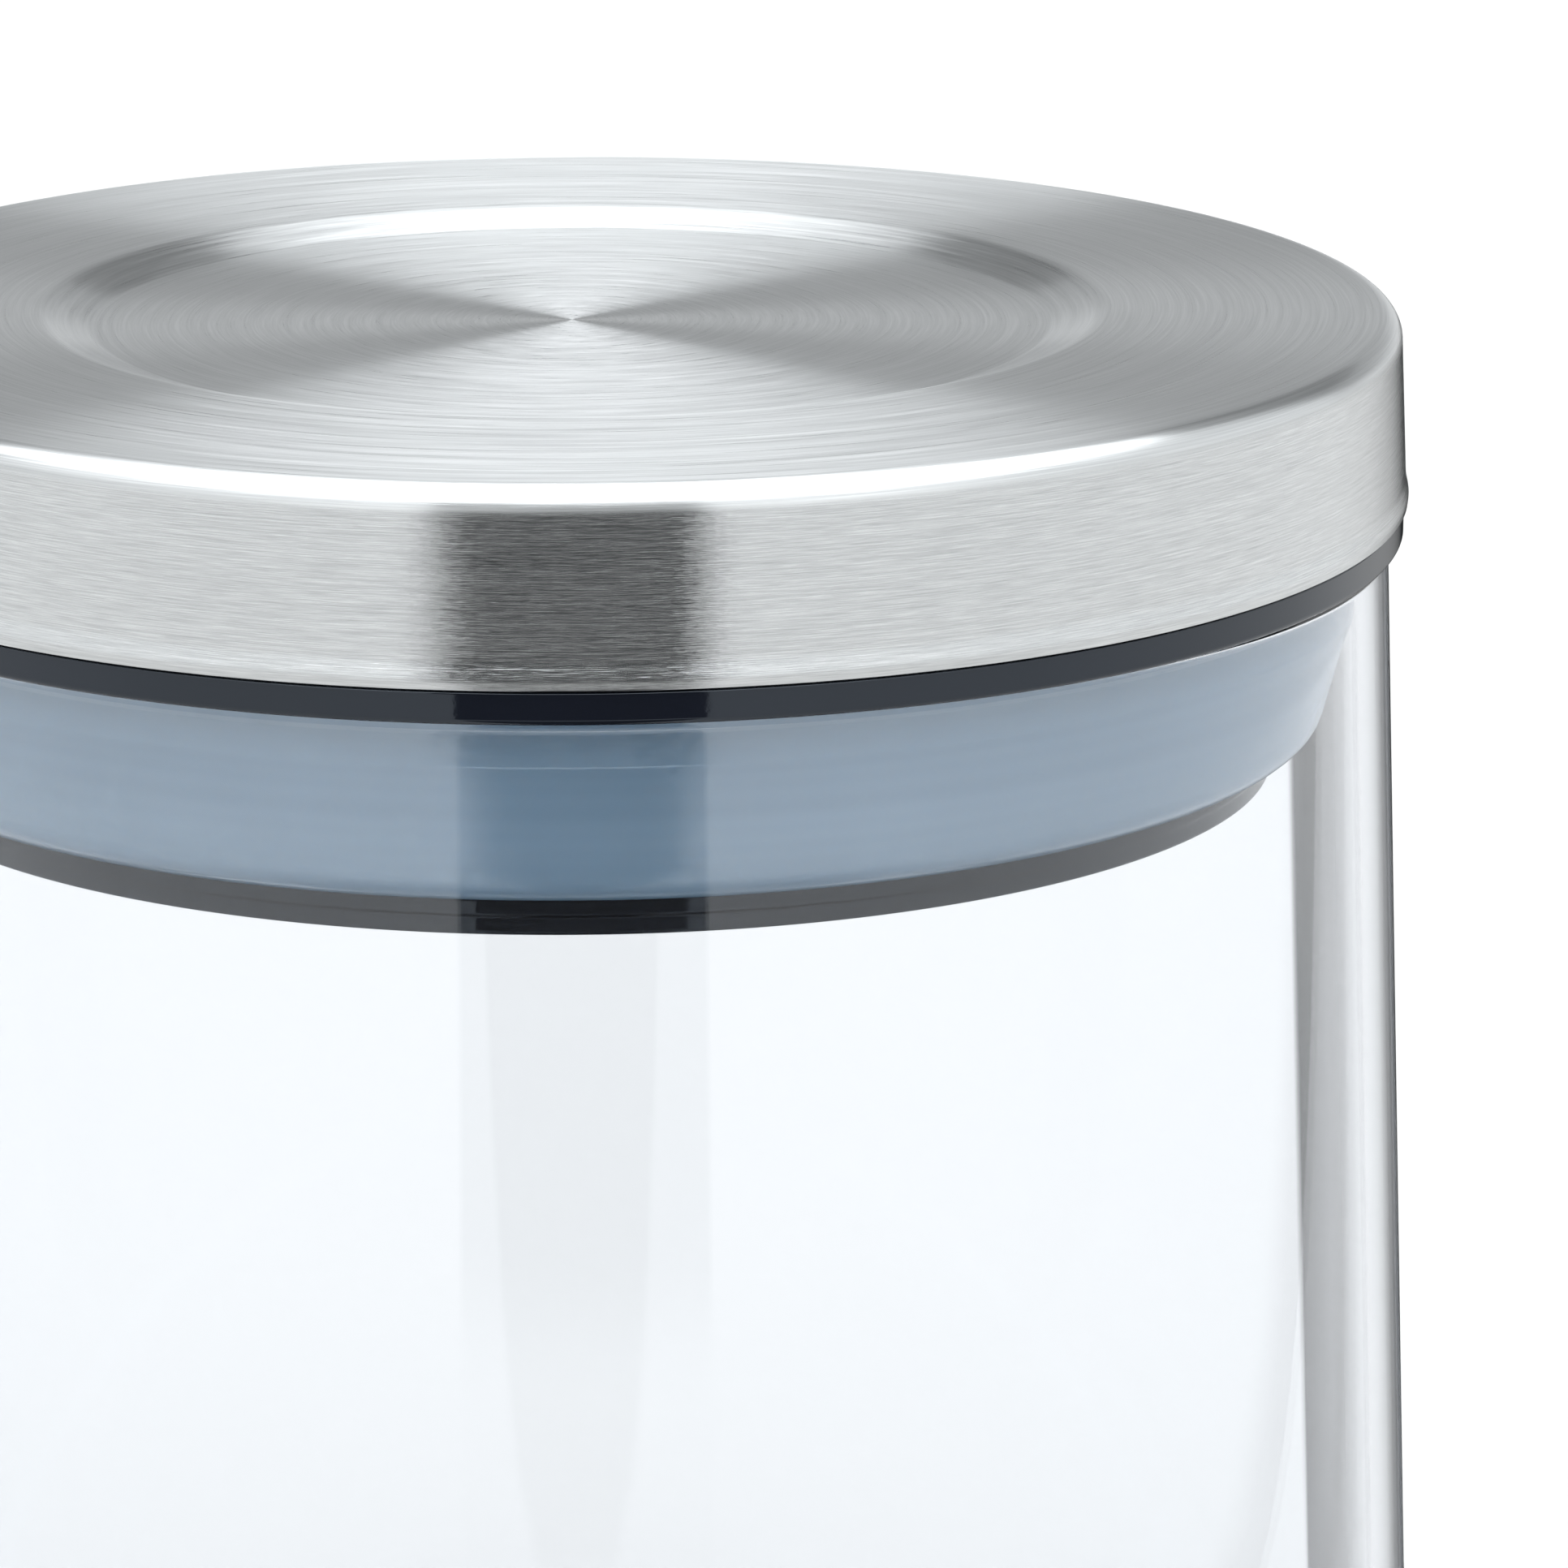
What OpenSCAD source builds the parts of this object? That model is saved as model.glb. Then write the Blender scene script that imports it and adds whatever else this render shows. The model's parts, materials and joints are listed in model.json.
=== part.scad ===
// Lidded glass canister: a leaning glass jar and a stainless-capped plug lid with a silicone seal.
// Millimetres, +Z up. The origin is the centre of the foot, on the surface that the jar stands on.

/* [Jar] */
// Height of the glass from its foot to its rim
jar_h = 136.7; // [100:0.1:220]
// Thickness of the glass wall
wall_t = 2; // [1.8:0.1:3]
// Lean of the wall from upright, wider towards the foot (degrees)
wall_lean = 2; // [0:0.25:3]
// Thickness of the glass base at the foot's plane
base_t = 5; // [4:0.5:8]

/* [Cap] */
// Diameter of the steel cap at its lower edge
cap_d = 100; // [94:1:120]
// Height of the steel cap
cap_h = 11.2; // [11:0.1:14]
// Thickness of the steel sheet
sheet_t = 0.5; // [0.4:0.1:0.7]
// Lean of the cap's side from upright, narrower towards the top (degrees)
cap_lean = 2.5; // [0:0.25:3]
// Radius of the rounded edge between the cap's side and top
cap_edge_r = 1.4; // [1:0.1:2]
// Diameter of the flat floor of the dish pressed into the top
dish_d = 57.2; // [40:0.1:64]
// Width of the slope around the dish
dish_slope_w = 3.1; // [2.5:0.1:5]
// Depth of the dish
dish_depth = 1; // [0.8:0.05:1.2]
// How far the cap's side flares out just above its lower edge
flare_d = 0.14; // [0.06:0.02:0.3]
// Height of the flare
flare_h = 1.5; // [1:0.1:2]

/* [Plug] */
// How far the cap overhangs the glass at the rim
overhang = 1.05; // [0.8:0.05:1.5]
// Height of the black flange that shows between steel and glass
flange_h = 2; // [1.8:0.1:3]
// Height of the groove that holds the seal
groove_h = 11.6; // [10:0.1:14]
// Depth of the groove, from the mouth to the plug wall
groove_d = 5.9; // [5.5:0.1:7]
// Thickness of the plug's moulded walls
plug_wall_t = 2; // [1.8:0.1:2.4]
// Height of the base plate's rim
plate_h = 2.2; // [2:0.1:3]
// Number of ribs that carry the cap outside the plug
rib_count = 12; // [6:1:16]

/* [Seal] */
// Height of the seal's band that presses on the glass
seal_band_h = 2.1; // [1.5:0.1:3]
// Radius of the seal's rounded lower edge
seal_round_r = 2.7; // [2:0.1:3]
// Thickness of the seal's outer skin
seal_skin_t = 1.6; // [1.4:0.1:2]

/* [Hidden] */
$fn = 96;

// Gap between the rim and the flange, and the running gaps of the seal
rim_gap = 0.1;
seal_gap = 0.06;
core_gap = 0.08;
// Gap between pieces that are pressed or bonded together
press_gap = 0.03;
pad_t = 0.4;

// Snap bead of the base plate and its groove in the plug wall: level, half height and depth
snap_z = 4;
snap_h = 0.35;
snap_d = 0.3;

// Levels, from the rim upwards and downwards
flange_z = jar_h + rim_gap;
cap_z = flange_z + flange_h;
top_z = cap_z + cap_h;
deck_z = top_z - dish_depth - sheet_t - pad_t;
plate_z = flange_z - groove_h;

// Radii at the rim
mouth_or = cap_d / 2 - overhang;
mouth_ir = mouth_or - wall_t;
plug_r = mouth_ir - groove_d;
bore_r = plug_r - plug_wall_t;

// Points of an arc in the profile plane: centre, radius, first and last angle
function arc(c, r, a0, a1, n = 8) =
    [for (i = [0:n]) let (a = a0 + (a1 - a0) * i / n) [c[0] + r * cos(a), c[1] + r * sin(a)]];

// Outer and inner radius of the glass wall at a height
function glass_or(z) = mouth_or + tan(wall_lean) * (jar_h - z);
function glass_ir(z) = glass_or(z) - wall_t;

// A piece turned from a half profile
module turned(points) {
    rotate_extrude(convexity = 6) polygon(points);
}

// Jar: a blown wall that thickens into a pressed base with a ring foot and a fire-polished rim
module glass_jar() {
    foot_edge_r = 4;
    floor_edge_r = 6;
    rim_r = 0.7;
    foot_w = 5;
    push_up = 1.4;
    push_slope_w = 6;
    s = sin(wall_lean);
    c = cos(wall_lean);
    foot_x = glass_or(foot_edge_r * (1 + s)) - foot_edge_r * c;
    rim_ox = glass_or(jar_h - rim_r * (1 - s)) - rim_r * c;
    rim_ix = glass_ir(jar_h - rim_r * (1 + s)) + rim_r * c;
    floor_x = glass_ir(base_t + floor_edge_r * (1 + s)) - floor_edge_r * c;
    color("lightcyan", 0.4) turned(concat(
        [[0, push_up], [foot_x - foot_w - push_slope_w, push_up], [foot_x - foot_w, 0]],
        arc([foot_x, foot_edge_r], foot_edge_r, -90, wall_lean),
        arc([rim_ox, jar_h - rim_r], rim_r, wall_lean, 90),
        arc([rim_ix, jar_h - rim_r], rim_r, 90, 180 + wall_lean),
        arc([floor_x, base_t + floor_edge_r], floor_edge_r, wall_lean, -90),
        [[0, base_t]]
    ));
}

// Half profile of the cap's outside down to its flared lower edge, or of its inside, set in by t
function cap_profile(t) =
    let (
        slope = atan(dish_depth / dish_slope_w),
        low_r = 1.2,
        high_r = 3,
        low_x = dish_d / 2 - low_r * tan(slope / 2),
        high_x = dish_d / 2 + dish_slope_w + high_r * tan(slope / 2),
        edge_r = cap_edge_r - t,
        edge_z = cap_h - cap_edge_r,
        edge_x = cap_d / 2 - tan(cap_lean) * (edge_z + cap_edge_r * sin(cap_lean)) - cap_edge_r * cos(cap_lean),
        flare_low_h = 0.55
    )
    concat(
        [[0, cap_h - dish_depth - t]],
        arc([low_x, cap_h - dish_depth + low_r], low_r + t, -90, -90 + slope, 4),
        arc([high_x, cap_h - high_r], high_r - t, 90 + slope, 90, 4),
        arc([edge_x, edge_z], edge_r, 90, cap_lean),
        t > 0 ? [[cap_d / 2 - t / cos(cap_lean), 0]]
            : [
                [cap_d / 2 - tan(cap_lean) * flare_h, flare_h], [cap_d / 2 + flare_d, flare_low_h],
                [cap_d / 2 + flare_d / 2, 0]
            ]
    );

// Steel cap: one drawn sheet with a dished top and a slight flare round its lower edge
module steel_cap() {
    inside = cap_profile(sheet_t);
    last = len(inside) - 1;
    color("silver") translate([0, 0, cap_z]) turned(concat(
        cap_profile(0),
        [for (i = [last:-1:0]) inside[i]]
    ));
}

// Adhesive ring that bonds the cap's dish to the plug's deck
module bond_pad() {
    pad_or = dish_d / 2 - 2;
    pad_ir = pad_or / 2;
    color("dimgray") translate([0, 0, deck_z]) difference() {
        cylinder(r = pad_or, h = pad_t);
        translate([0, 0, -1]) cylinder(r = pad_ir, h = pad_t + 2);
    }
}

// Plug: flange, plug wall and deck in one moulding, with a skirt and ribs under the cap
module lid_core() {
    flange_r = cap_d / 2 - 0.15;
    flange_edge_r = 0.35;
    lip_gap = 0.12;
    skirt_t = 1.8;
    skirt_top_z = top_z - sheet_t - cap_edge_r;
    skirt_low_r = cap_d / 2 - sheet_t / cos(cap_lean) - press_gap;
    skirt_top_r = skirt_low_r - tan(cap_lean) * (skirt_top_z - cap_z);
    deck_t = 2;
    rib_t = 1.5;
    rib_top_z = top_z - sheet_t - press_gap;
    color([0.07, 0.07, 0.08]) {
        turned(concat(
            [[bore_r, plate_z + press_gap], [plug_r, plate_z + press_gap], [plug_r, flange_z]],
            arc([flange_r - flange_edge_r, flange_z + flange_edge_r], flange_edge_r, -90, 0),
            [
                [flange_r, cap_z - lip_gap], [skirt_low_r, cap_z - lip_gap], [skirt_low_r, cap_z],
                [skirt_top_r, skirt_top_z], [skirt_top_r - skirt_t, skirt_top_z],
                [skirt_low_r - skirt_t, cap_z], [plug_r, cap_z], [plug_r, deck_z], [0, deck_z],
                [0, deck_z - deck_t], [bore_r, deck_z - deck_t],
                [bore_r, plate_z + snap_z + snap_h], [bore_r + snap_d, plate_z + snap_z],
                [bore_r, plate_z + snap_z - snap_h]
            ]
        ));
        for (i = [0:rib_count - 1]) rotate([0, 0, i * 360 / rib_count])
            translate([plug_r - 0.5, -rib_t / 2, cap_z - 0.5])
                cube([skirt_top_r - skirt_t - plug_r + 1, rib_t, rib_top_z - cap_z + 0.5]);
    }
}

// Seal: a hollow silicone ring whose top band presses on the glass and whose flank falls away below
module seal_ring() {
    seal_ir = plug_r + core_gap;
    seal_or = mouth_ir - seal_gap;
    low_z = plate_z + core_gap;
    high_z = flange_z - core_gap;
    top_edge_r = 0.8;
    band_low_z = high_z - top_edge_r - seal_band_h;
    flank_deg = 14;
    round_z = low_z + seal_round_r;
    round_x = seal_or - tan(flank_deg) * (band_low_z - round_z) - seal_round_r / cos(flank_deg);
    land_h = 1.8;
    web_h = 1.2;
    web_z = (high_z + low_z) / 2;
    chamber_r = round_x + seal_round_r - seal_skin_t;
    color("lightslategray") difference() {
        turned(concat(
            [[seal_ir, low_z]],
            arc([round_x, round_z], seal_round_r, -90, -flank_deg),
            [[seal_or, band_low_z]],
            arc([seal_or - top_edge_r, high_z - top_edge_r], top_edge_r, 0, 90),
            [[seal_ir, high_z]]
        ));
        turned([
            [seal_ir - 1, low_z + land_h], [chamber_r - 0.8, low_z + land_h], [chamber_r, web_z - web_h / 2],
            [seal_ir - 1, web_z - web_h / 2]
        ]);
        turned([
            [seal_ir - 1, web_z + web_h / 2], [chamber_r, web_z + web_h / 2], [chamber_r, high_z - land_h],
            [seal_ir - 1, high_z - land_h]
        ]);
    }
}

// Base plate: closes the plug from below and traps the seal; its spigot snaps into the plug wall
module base_plate() {
    plate_r = plug_r + 1.3;
    step_d = 0.22;
    step_z = plate_z - 0.95;
    low_z = plate_z - plate_h;
    edge_r = 0.2;
    spigot_r = bore_r - press_gap;
    spigot_t = 1.6;
    spigot_h = 6;
    panel_t = 1.8;
    panel_d = 0.4;
    panel_r = spigot_r - 5;
    color([0.07, 0.07, 0.08]) turned(concat(
        [[0, low_z + panel_d], [panel_r - 1, low_z + panel_d], [panel_r, low_z]],
        arc([plate_r - step_d - edge_r, low_z + edge_r], edge_r, -90, 0),
        [
            [plate_r - step_d, step_z - step_d], [plate_r, step_z], [plate_r, plate_z], [spigot_r, plate_z],
            [spigot_r, plate_z + snap_z - snap_h], [spigot_r + snap_d - press_gap, plate_z + snap_z],
            [spigot_r, plate_z + snap_z + snap_h], [spigot_r, plate_z + spigot_h],
            [spigot_r - spigot_t, plate_z + spigot_h], [spigot_r - spigot_t, low_z + panel_d + panel_t],
            [0, low_z + panel_d + panel_t]
        ]
    ));
}

glass_jar();
steel_cap();
bond_pad();
lid_core();
seal_ring();
base_plate();
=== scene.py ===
# Lidded glass canister: a leaning glass jar with a stainless-capped plug lid and a silicone seal.
# Blender 4.5. Metres, +Z up, the same frame as the CAD part. Outlines are written in millimetres.

import json
import math

import bpy
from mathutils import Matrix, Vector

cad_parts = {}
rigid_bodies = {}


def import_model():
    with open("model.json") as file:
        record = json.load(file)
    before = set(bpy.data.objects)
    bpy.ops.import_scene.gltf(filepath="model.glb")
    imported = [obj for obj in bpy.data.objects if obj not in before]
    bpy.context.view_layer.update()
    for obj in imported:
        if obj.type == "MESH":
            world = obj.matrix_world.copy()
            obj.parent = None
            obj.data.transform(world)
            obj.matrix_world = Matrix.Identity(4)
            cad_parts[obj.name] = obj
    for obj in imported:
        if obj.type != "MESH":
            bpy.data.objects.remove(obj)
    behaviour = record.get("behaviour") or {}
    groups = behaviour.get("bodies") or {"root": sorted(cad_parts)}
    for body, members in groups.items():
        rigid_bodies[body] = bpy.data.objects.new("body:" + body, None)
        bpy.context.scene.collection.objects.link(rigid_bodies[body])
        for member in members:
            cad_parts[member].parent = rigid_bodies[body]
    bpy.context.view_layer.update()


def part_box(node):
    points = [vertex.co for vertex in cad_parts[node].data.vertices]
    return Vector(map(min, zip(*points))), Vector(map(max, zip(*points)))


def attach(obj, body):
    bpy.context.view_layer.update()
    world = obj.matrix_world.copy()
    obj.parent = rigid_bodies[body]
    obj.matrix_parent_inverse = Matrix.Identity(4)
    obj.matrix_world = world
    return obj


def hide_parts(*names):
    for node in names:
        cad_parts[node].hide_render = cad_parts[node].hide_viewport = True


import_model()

# ---------------------------------------------------------------------------------------------
# Stage: a pale floor under a soft white tent, which is open in front where the camera stands.
# Only reflections see the opening, and for them the floor in front is painted nearly black, a painted
# dark reflection. Two pairs of flags lie flat on the floor behind the canister, where the camera doesn't
# see them directly, and draw the glass's edges: they are dimly glowing painted dark sheets, hidden from
# camera rays, shading and shadows, which only rays through the glass or reflected rays see.
# ---------------------------------------------------------------------------------------------
scene = bpy.context.scene
scene.view_settings.view_transform = "Standard"
scene.cycles.max_bounces = 20
scene.cycles.glossy_bounces = 8
scene.cycles.transmission_bounces = 20

CAMERA_DISTANCE = 0.46615
CAMERA_HEIGHT_DEG = 12.82
CAMERA_PITCH_DEG = 15.03
CAMERA_YAW_DEG = 1.60
CAMERA_LENS_MM = 177.7

rim_of_cap_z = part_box("steel_cap")[0].z
height_angle = math.radians(CAMERA_HEIGHT_DEG)
bpy.ops.object.select_all(action="DESELECT")
bpy.ops.object.camera_add(
    location=(
        0,
        -CAMERA_DISTANCE * math.cos(height_angle),
        rim_of_cap_z + CAMERA_DISTANCE * math.sin(height_angle),
    ),
    rotation=(math.radians(90 - CAMERA_PITCH_DEG), 0, -math.radians(CAMERA_YAW_DEG)),
)
camera = bpy.context.object
camera.name = "camera"
camera.data.lens = CAMERA_LENS_MM
camera.data.sensor_width = 36
camera.data.clip_start = 0.01
scene.camera = camera


def add_node(tree, kind, inputs=None, **settings):
    """One shader node with its settings and its unlinked sockets set."""
    made = tree.nodes.new(kind)
    for name, value in settings.items():
        setattr(made, name, value)
    for name, value in (inputs or {}).items():
        made.inputs[name].default_value = value
    return made


def math_node(tree, operation, first, second=None):
    """A Math node of two sockets or numbers. Gives back its output socket."""
    made = add_node(tree, "ShaderNodeMath", operation=operation)
    for i, value in enumerate((first, second)):
        if isinstance(value, (int, float)):
            made.inputs[i].default_value = value
        elif value is not None:
            tree.links.new(value, made.inputs[i])
    return made.outputs[0]


def smooth_ramp(tree, value, low, high, out_low=0.0, out_high=1.0):
    """A soft step from out_low to out_high while value goes from low to high."""
    made = add_node(
        tree, "ShaderNodeMapRange", interpolation_type="SMOOTHSTEP",
        inputs={"From Min": low, "From Max": high, "To Min": out_low, "To Max": out_high},
    )
    tree.links.new(value, made.inputs["Value"])
    return made.outputs["Result"]


GAP_LOW_DEG = (-15.9, 17.6)
GAP_HIGH_DEG = (-18.7, 17.0)
GAP_EDGE_DEG = 0.5
GAP_LOW_X = (-0.0061, 0.0078)
GLASS_FRONT = 0.0485


def front_gap(tree, direction, gap_deg):
    """1 where a direction or place lies in the tent's open front, for light that has been reflected."""
    parts = add_node(tree, "ShaderNodeSeparateXYZ")
    tree.links.new(direction, parts.inputs[0])
    ahead = math_node(tree, "MULTIPLY", parts.outputs["Y"], -1.0)
    turn = math_node(tree, "DEGREES", math_node(tree, "ARCTAN2", parts.outputs["X"], ahead))
    left = smooth_ramp(tree, turn, gap_deg[0] - GAP_EDGE_DEG, gap_deg[0] + GAP_EDGE_DEG)
    right = smooth_ramp(tree, turn, gap_deg[1] - GAP_EDGE_DEG, gap_deg[1] + GAP_EDGE_DEG, 1, 0)
    path = add_node(tree, "ShaderNodeLightPath")
    reflected = math_node(tree, "GREATER_THAN", path.outputs["Glossy Depth"], 0.5)
    gap = math_node(tree, "MULTIPLY", math_node(tree, "MULTIPLY", left, right), reflected)
    return parts, math_node(tree, "ABSOLUTE", turn), path, gap


TENT_SIDE = 1.12
TENT_TOP_BACK = 3.2
TENT_TOP_FRONT = 4.6
TENT_TOP_LEAN_DEG = 8.0
TENT_HORIZON = 0.9
TENT_BACK = 0.50
TENT_BACK_DARK = 0.27
TENT_GAP = 0.05
TENT_SEEN = 1.05
SIDE_END_DEG = 128
SIDE_FADE_DEG = 6
TOP_START_DEG = 46
TOP_FULL_DEG = 50
BACK_TOP_DEG = 20
BACK_FADE_DEG = 1
HORIZON_TOP_DEG = 14
SOFTBOX_FRONT_Y, SOFTBOX_BACK_Y = -0.70, -0.10
SKY_COLOUR = (0.965, 0.985, 1.0, 1)


def height_of(degrees):
    """Height on the unit sphere of a direction so many degrees above the horizon."""
    return math.sin(math.radians(degrees))


tent = bpy.data.worlds.new("tent")
scene.world = tent
tent.use_nodes = True
tree = tent.node_tree
tree.nodes.clear()
place = add_node(tree, "ShaderNodeTexCoord")
parts, turn, path, gap = front_gap(tree, place.outputs["Generated"], GAP_HIGH_DEG)
near_horizon = smooth_ramp(
    tree, parts.outputs["Z"], 0, height_of(HORIZON_TOP_DEG), TENT_HORIZON - TENT_BACK, 0
)
back = smooth_ramp(
    tree, parts.outputs["Z"],
    height_of(BACK_TOP_DEG - BACK_FADE_DEG), height_of(BACK_TOP_DEG + BACK_FADE_DEG),
    TENT_BACK, TENT_BACK_DARK,
)
back = math_node(tree, "ADD", back, near_horizon)
top_lean = math.radians(TENT_TOP_LEAN_DEG)
upward = math_node(
    tree, "SUBTRACT", math_node(tree, "MULTIPLY", parts.outputs["Z"], math.cos(top_lean)),
    math_node(tree, "MULTIPLY", parts.outputs["Y"], math.sin(top_lean)),
)
above = smooth_ramp(
    tree, upward, height_of(TOP_START_DEG - TENT_TOP_LEAN_DEG), height_of(TOP_FULL_DEG - TENT_TOP_LEAN_DEG)
)


def blended(tree, factor, first, second):
    """A plain mix of two numbers or sockets by a factor."""
    made = add_node(tree, "ShaderNodeMix")
    tree.links.new(factor, made.inputs["Factor"])
    for name, value in (("A", first), ("B", second)):
        if isinstance(value, (int, float)):
            made.inputs[name].default_value = value
        else:
            tree.links.new(value, made.inputs[name])
    return made.outputs["Result"]


behind = smooth_ramp(tree, turn, SIDE_END_DEG - SIDE_FADE_DEG, SIDE_END_DEG + SIDE_FADE_DEG)
walls = blended(tree, behind, TENT_SIDE, back)
softbox = smooth_ramp(
    tree, parts.outputs["Y"], SOFTBOX_FRONT_Y, SOFTBOX_BACK_Y, TENT_TOP_FRONT, TENT_TOP_BACK
)
dome = blended(tree, gap, walls, TENT_GAP)
dome = blended(tree, above, dome, softbox)
dome = blended(tree, path.outputs["Is Camera Ray"], dome, TENT_SEEN)
sky = add_node(tree, "ShaderNodeBackground", inputs={"Color": SKY_COLOUR})
tree.links.new(dome, sky.inputs["Strength"])
tree.links.new(sky.outputs[0], add_node(tree, "ShaderNodeOutputWorld").inputs["Surface"])

FLOOR_SIZE = 8.0
FLOOR_DROP = 0.0001
FLOOR_COLOUR = (0.462, 0.457, 0.450, 1)
# Painted dark reflection: the floor's colour where reflected rays look into the tent's open front.
PAINTED_GAP_DARK = (0.03, 0.03, 0.03, 1)
GAP_LOW_EDGE = 0.002
GAP_FAINT = 0.12
NEAR_FADE = (0.26, 0.32)
FAR_FADE = (0.40, 0.47)
WIDE_FADE = (0.74, 0.80)
bpy.ops.object.select_all(action="DESELECT")
bpy.ops.mesh.primitive_plane_add(
    size=FLOOR_SIZE, location=(0, 0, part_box("glass_jar")[0].z - FLOOR_DROP)
)
floor = bpy.context.object
floor.name = "floor"
floor_paint = bpy.data.materials.new("pale_floor")
floor_paint.use_nodes = True
tree = floor_paint.node_tree
tree.nodes.clear()
place = add_node(tree, "ShaderNodeTexCoord")
# For reflected rays the floor in front of the canister is painted nearly black, a painted dark reflection
# of the tent's open front; rays that have not been reflected see the pale floor.
parts, turn, path, far_gap = front_gap(tree, place.outputs["Object"], GAP_HIGH_DEG)
gap = math_node(tree, "GREATER_THAN", path.outputs["Glossy Depth"], 0.5)
ahead = math_node(tree, "SUBTRACT", math_node(tree, "MULTIPLY", parts.outputs["Y"], -1.0), GLASS_FRONT)
for start, edge_deg, side in ((GAP_LOW_X[0], GAP_LOW_DEG[0], 1), (GAP_LOW_X[1], GAP_LOW_DEG[1], -1)):
    line = math_node(tree, "MULTIPLY", ahead, math.tan(math.radians(edge_deg)))
    past = math_node(tree, "SUBTRACT", parts.outputs["X"], math_node(tree, "ADD", line, start))
    edge = smooth_ramp(tree, math_node(tree, "MULTIPLY", past, side), -GAP_LOW_EDGE, GAP_LOW_EDGE)
    gap = math_node(tree, "MULTIPLY", gap, edge)
reach = add_node(tree, "ShaderNodeVectorMath", operation="LENGTH")
tree.links.new(place.outputs["Object"], reach.inputs[0])
# The gap is full near the canister, faint in the middle distance and full again further out.
near = smooth_ramp(tree, reach.outputs["Value"], *NEAR_FADE, 1, GAP_FAINT)
far = smooth_ramp(tree, reach.outputs["Value"], *FAR_FADE, 0, 1 - GAP_FAINT)
gap = math_node(tree, "MULTIPLY", gap, math_node(tree, "ADD", near, far))
gap = blended(tree, smooth_ramp(tree, reach.outputs["Value"], *WIDE_FADE), gap, far_gap)
paint = add_node(tree, "ShaderNodeBsdfDiffuse", inputs={"Color": FLOOR_COLOUR, "Roughness": 0.6})
shade = add_node(tree, "ShaderNodeBsdfDiffuse", inputs={"Color": PAINTED_GAP_DARK})
mixed = add_node(tree, "ShaderNodeMixShader")
tree.links.new(gap, mixed.inputs[0])
tree.links.new(paint.outputs[0], mixed.inputs[1])
tree.links.new(shade.outputs[0], mixed.inputs[2])
tree.links.new(mixed.outputs[0], add_node(tree, "ShaderNodeOutputMaterial").inputs["Surface"])
floor.data.materials.append(floor_paint)

FLAG_APEX = 0.0498
FLAG_RISE = 0.0005
FLAG_NEAR_Y, FLAG_FAR_Y = 0.04, 1.6
FLAG_SPREAD_DEG = (4, 62)
FLAG_COLOUR = (0.93, 0.97, 1.0, 1)
# Name, strength, the rays that see it, the bearings of its inner and outer fades, and the outer falloff.
FLAGS = (
    ("grey_flag", 0.03, "visible_transmission", (10.6, 11.2), (16.5, 26.0), 1),
    ("dark_flag", 0.03, "visible_glossy", (8.0, 9.5), (15.0, 60.0), 2),
)

for name, strength, seen_by, inner_deg, outer_deg, falloff in FLAGS:
    flag_paint = bpy.data.materials.new(name)
    flag_paint.use_nodes = True
    tree = flag_paint.node_tree
    tree.nodes.clear()
    place = add_node(tree, "ShaderNodeTexCoord")
    parts = add_node(tree, "ShaderNodeSeparateXYZ")
    tree.links.new(place.outputs["Object"], parts.inputs[0])
    aside = math_node(tree, "SUBTRACT", math_node(tree, "ABSOLUTE", parts.outputs["X"]), FLAG_APEX)
    turn = math_node(tree, "DEGREES", math_node(tree, "ARCTAN2", aside, parts.outputs["Y"]))
    fading = add_node(tree, "ShaderNodeMapRange", inputs={
        "From Min": outer_deg[0], "From Max": outer_deg[1], "To Min": 1, "To Max": 0,
    })
    tree.links.new(turn, fading.inputs["Value"])
    cover = math_node(tree, "POWER", fading.outputs["Result"], falloff)
    cover = math_node(tree, "MULTIPLY", cover, smooth_ramp(tree, turn, inner_deg[0], inner_deg[1]))
    # Where it covers, the flag glows dimly instead of showing the bright floor: a painted dark sheet for
    # the glass's edges.
    glow = add_node(tree, "ShaderNodeEmission", inputs={"Color": FLAG_COLOUR, "Strength": strength})
    clear = add_node(tree, "ShaderNodeBsdfTransparent")
    mixed = add_node(tree, "ShaderNodeMixShader")
    tree.links.new(cover, mixed.inputs[0])
    tree.links.new(clear.outputs[0], mixed.inputs[1])
    tree.links.new(glow.outputs[0], mixed.inputs[2])
    tree.links.new(mixed.outputs[0], add_node(tree, "ShaderNodeOutputMaterial").inputs["Surface"])
    for side in (-1, 1):
        bpy.ops.object.select_all(action="DESELECT")
        bpy.ops.mesh.primitive_plane_add(size=1, location=(0, 0, FLAG_RISE))
        flag = bpy.context.object
        flag.name = f"{name}_{'right' if side > 0 else 'left'}"
        bpy.ops.object.transform_apply(location=True, rotation=True, scale=True)
        corners = [(y, deg) for y in (FLAG_NEAR_Y, FLAG_FAR_Y) for deg in FLAG_SPREAD_DEG]
        for vertex, (y, deg) in zip(flag.data.vertices, corners):
            vertex.co.xy = (side * (FLAG_APEX + y * math.tan(math.radians(deg))), y)
        flag.data.materials.append(flag_paint)
        for kind in ("camera", "diffuse", "glossy", "transmission", "shadow"):
            setattr(flag, "visible_" + kind, "visible_" + kind == seen_by)

# ---------------------------------------------------------------------------------------------
# Jar: clear soda-lime glass, blown with a leaning wall that widens to a thick pressed base.
# The foot is a ring around a shallow push-up, and the rim is fire-polished.
# ---------------------------------------------------------------------------------------------
MM = 0.001
LATHE_STEPS = 384


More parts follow.
